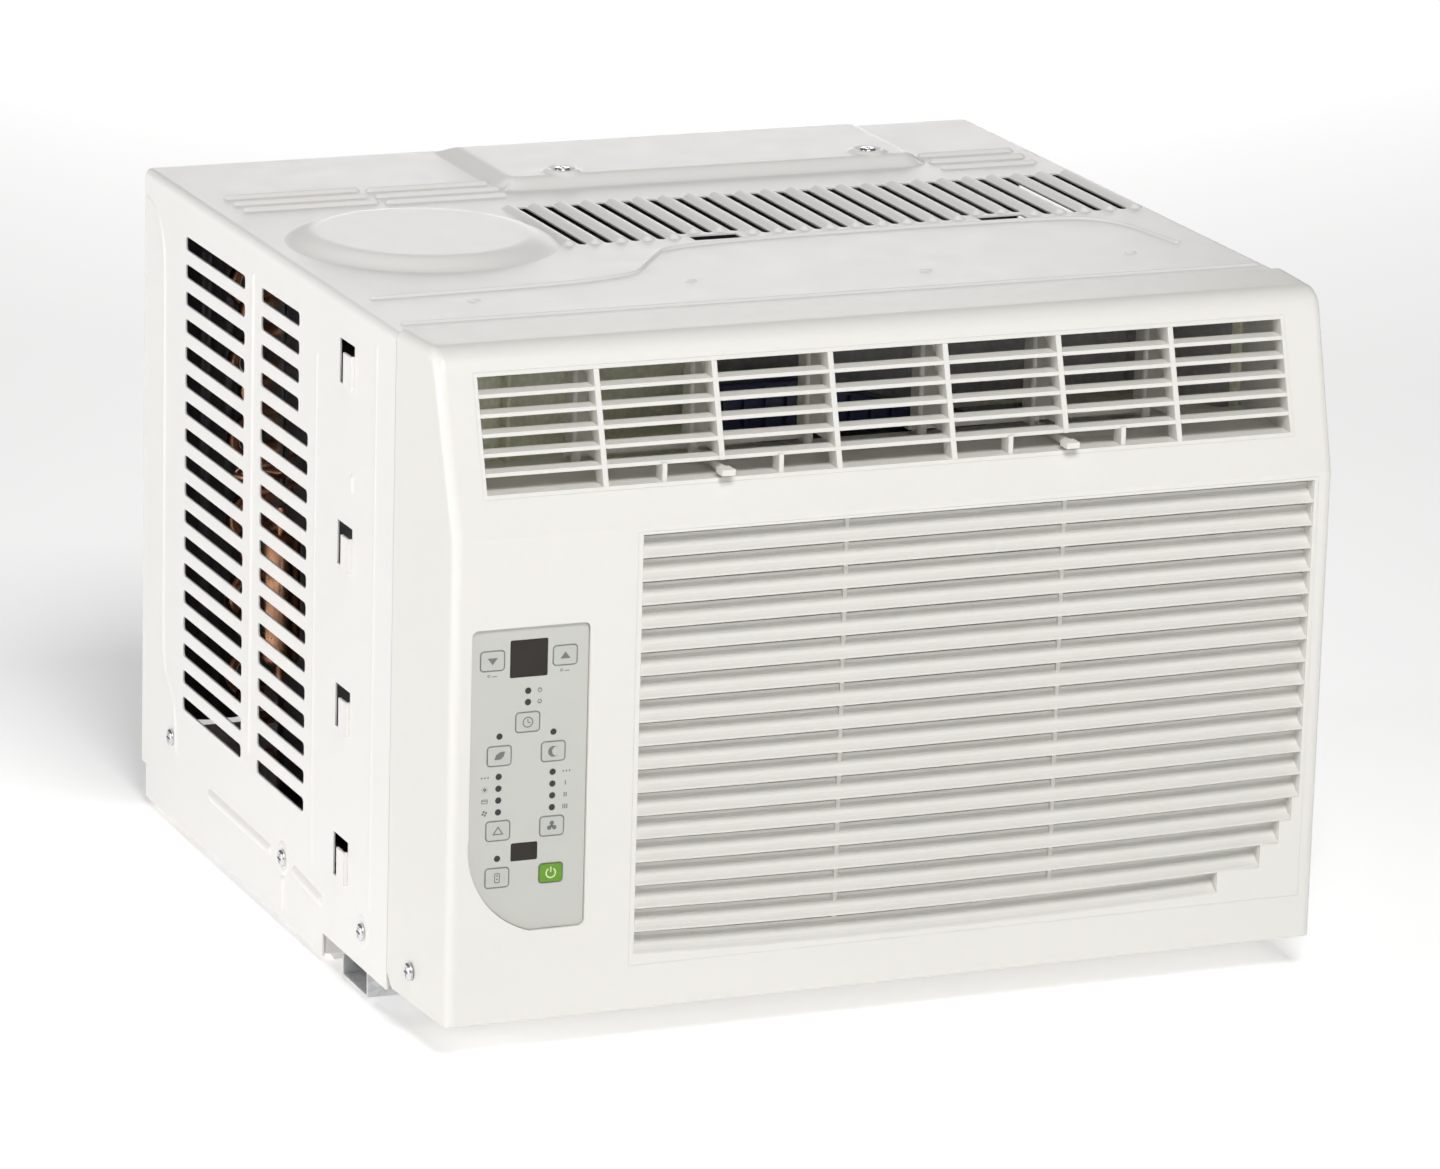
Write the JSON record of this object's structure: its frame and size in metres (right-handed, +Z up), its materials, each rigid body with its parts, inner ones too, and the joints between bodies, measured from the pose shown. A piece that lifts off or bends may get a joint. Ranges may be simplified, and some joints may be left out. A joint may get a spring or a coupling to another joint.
{
  "type": "window air conditioner",
  "caption": "Room air conditioner for a sash window: louvred white front with touch panel, steel cabinet, and the cooling circuit and fans inside.",
  "frame": {"origin": "middle of the footprint, on the surface the base pan's feet stand on", "axes": "+X to the right seen from the room, +Y from the room to the outdoor side, +Z up"},
  "size_m": [0.4744, 0.45, 0.35],
  "materials": {
    "painted_steel": "white powder coat on pressed sheet steel, satin",
    "bezel_plastic": "white moulded plastic, fine satin grain",
    "galvanised": "galvanised sheet steel, dull spangle",
    "panel_grey": "pale grey printed fascia, satin",
    "dark_window": "smoked clear plastic, gloss",
    "light_pipe": "dark indicator lens, gloss",
    "key_plastic": "pale grey key with a printed outline",
    "power_green": "green power key",
    "board": "green circuit board with solder resist",
    "capacitor_can": "drawn aluminium can",
    "filter_plastic": "moulded filter frame",
    "filter_net": "woven plastic net",
    "fin_aluminium": "bare aluminium fins",
    "copper": "drawn copper tube, slightly tarnished",
    "blower_plastic": "dark blue black moulded plastic",
    "duct_foam": "dark grey moulded foam",
    "duct_cream": "cream moulded foam lining",
    "bright_steel": "ground steel shaft",
    "motor_paint": "black painted motor can",
    "compressor_black": "gloss black paint on steel",
    "rubber": "black rubber",
    "zinc_steel": "bright zinc plated steel"
  },
  "bodies": {
    "housing": {"cabinet": "painted_steel", "base_pan": "painted_steel", "sill_rail": "galvanised", "front_bezel": "bezel_plastic", "outlet_louvre": "bezel_plastic", "intake_grille": "bezel_plastic", "control_panel": "panel_grey", "display_window": "dark_window", "receiver_window": "dark_window", "indicator_lights": "light_pipe", "control_board": "board", "control_box": "galvanised", "run_capacitor": "capacitor_can", "capacitor_clip": "galvanised", "evaporator_fins": "fin_aluminium", "evaporator_tubes": "copper", "condenser_fins": "fin_aluminium", "condenser_tubes": "copper", "scroll_housing": "duct_foam", "blower_inlet_ring": "duct_foam", "outlet_duct": "duct_cream", "partition": "galvanised", "fan_motor": "motor_paint", "motor_bracket": "galvanised", "condenser_shroud": "motor_paint", "compressor": "compressor_black", "compressor_grommets": "rubber", "compressor_studs": "zinc_steel", "terminal_cover": "rubber", "accumulator": "compressor_black", "suction_tube": "copper", "discharge_tube": "copper", "capillary_tube": "copper", "filter_drier": "copper", "cabinet_screws": "zinc_steel", "bezel_screws": "zinc_steel", "thermistor": "copper", "cord_bushing": "rubber"},
    "rotor": {"motor_shaft": "bright_steel", "blower_wheel": "blower_plastic", "condenser_fan": "blower_plastic"},
    "air_filter": {"filter_frame": "filter_plastic", "filter_mesh": "filter_net"},
    "temperature_down_key": {"temperature_down_key": "key_plastic"},
    "temperature_up_key": {"temperature_up_key": "key_plastic"},
    "timer_key": {"timer_key": "key_plastic"},
    "energy_key": {"energy_key": "key_plastic"},
    "sleep_key": {"sleep_key": "key_plastic"},
    "mode_key": {"mode_key": "key_plastic"},
    "fan_key": {"fan_key": "key_plastic"},
    "follow_key": {"follow_key": "key_plastic"},
    "power_key": {"power_key": "power_green"},
    "vane_1": {"vane_1": "bezel_plastic"},
    "vane_2": {"vane_2": "bezel_plastic"},
    "vane_3": {"vane_3": "bezel_plastic"},
    "vane_4": {"vane_4": "bezel_plastic"},
    "vane_5": {"vane_5": "bezel_plastic"},
    "vane_6": {"vane_6": "bezel_plastic"},
    "left_link_bar": {"left_link_bar": "bezel_plastic"},
    "right_link_bar": {"right_link_bar": "bezel_plastic"}
  },
  "joints": [
    {"name": "fan_spin", "type": "hinge", "parent": "housing", "child": "rotor", "pos_m": [0.066, -0.035, 0.184], "axis": [0, 1, 0], "continuous": true},
    {"name": "filter_slide", "type": "slide", "parent": "housing", "child": "air_filter", "axis": [1, 0, 0], "range_m": [0, 0.37]},
    {"name": "temperature_down_key_press", "type": "slide", "parent": "housing", "child": "temperature_down_key", "axis": [0, 1, 0], "range_m": [0, 0.0006], "stiffness_N_per_m": 600},
    {"name": "temperature_up_key_press", "type": "slide", "parent": "housing", "child": "temperature_up_key", "axis": [0, 1, 0], "range_m": [0, 0.0006], "stiffness_N_per_m": 600},
    {"name": "timer_key_press", "type": "slide", "parent": "housing", "child": "timer_key", "axis": [0, 1, 0], "range_m": [0, 0.0006], "stiffness_N_per_m": 600},
    {"name": "energy_key_press", "type": "slide", "parent": "housing", "child": "energy_key", "axis": [0, 1, 0], "range_m": [0, 0.0006], "stiffness_N_per_m": 600},
    {"name": "sleep_key_press", "type": "slide", "parent": "housing", "child": "sleep_key", "axis": [0, 1, 0], "range_m": [0, 0.0006], "stiffness_N_per_m": 600},
    {"name": "mode_key_press", "type": "slide", "parent": "housing", "child": "mode_key", "axis": [0, 1, 0], "range_m": [0, 0.0006], "stiffness_N_per_m": 600},
    {"name": "fan_key_press", "type": "slide", "parent": "housing", "child": "fan_key", "axis": [0, 1, 0], "range_m": [0, 0.0006], "stiffness_N_per_m": 600},
    {"name": "follow_key_press", "type": "slide", "parent": "housing", "child": "follow_key", "axis": [0, 1, 0], "range_m": [0, 0.0006], "stiffness_N_per_m": 600},
    {"name": "power_key_press", "type": "slide", "parent": "housing", "child": "power_key", "axis": [0, 1, 0], "range_m": [0, 0.0006], "stiffness_N_per_m": 600},
    {"name": "vane_1_turn", "type": "hinge", "parent": "housing", "child": "vane_1", "pos_m": [-0.1522, -0.179, 0.305], "axis": [0, 0, 1], "range_deg": [-30, 30]},
    {"name": "vane_2_turn", "type": "hinge", "parent": "housing", "child": "vane_2", "pos_m": [-0.092, -0.179, 0.305], "axis": [0, 0, 1], "range_deg": [-30, 30]},
    {"name": "vane_3_turn", "type": "hinge", "parent": "housing", "child": "vane_3", "pos_m": [-0.0319, -0.179, 0.305], "axis": [0, 0, 1], "range_deg": [-30, 30]},
    {"name": "vane_4_turn", "type": "hinge", "parent": "housing", "child": "vane_4", "pos_m": [0.0283, -0.179, 0.305], "axis": [0, 0, 1], "range_deg": [-30, 30]},
    {"name": "vane_5_turn", "type": "hinge", "parent": "housing", "child": "vane_5", "pos_m": [0.0884, -0.179, 0.305], "axis": [0, 0, 1], "range_deg": [-30, 30]},
    {"name": "vane_6_turn", "type": "hinge", "parent": "housing", "child": "vane_6", "pos_m": [0.1486, -0.179, 0.305], "axis": [0, 0, 1], "range_deg": [-30, 30]},
    {"name": "left_link_bar_pivot", "type": "hinge", "parent": "vane_2", "child": "left_link_bar", "pos_m": [-0.092, -0.17, 0.2833], "axis": [0, 0, 1], "range_deg": [-30, 30]},
    {"name": "right_link_bar_pivot", "type": "hinge", "parent": "vane_5", "child": "right_link_bar", "pos_m": [0.0884, -0.17, 0.2833], "axis": [0, 0, 1], "range_deg": [-30, 30]}
  ],
  "couplings": [
    {"joint": "vane_1_turn", "follows": "vane_2_turn", "ratio": 1},
    {"joint": "vane_3_turn", "follows": "vane_2_turn", "ratio": 1},
    {"joint": "left_link_bar_pivot", "follows": "vane_2_turn", "ratio": -1},
    {"joint": "vane_4_turn", "follows": "vane_5_turn", "ratio": 1},
    {"joint": "vane_6_turn", "follows": "vane_5_turn", "ratio": 1},
    {"joint": "right_link_bar_pivot", "follows": "vane_5_turn", "ratio": -1}
  ]
}
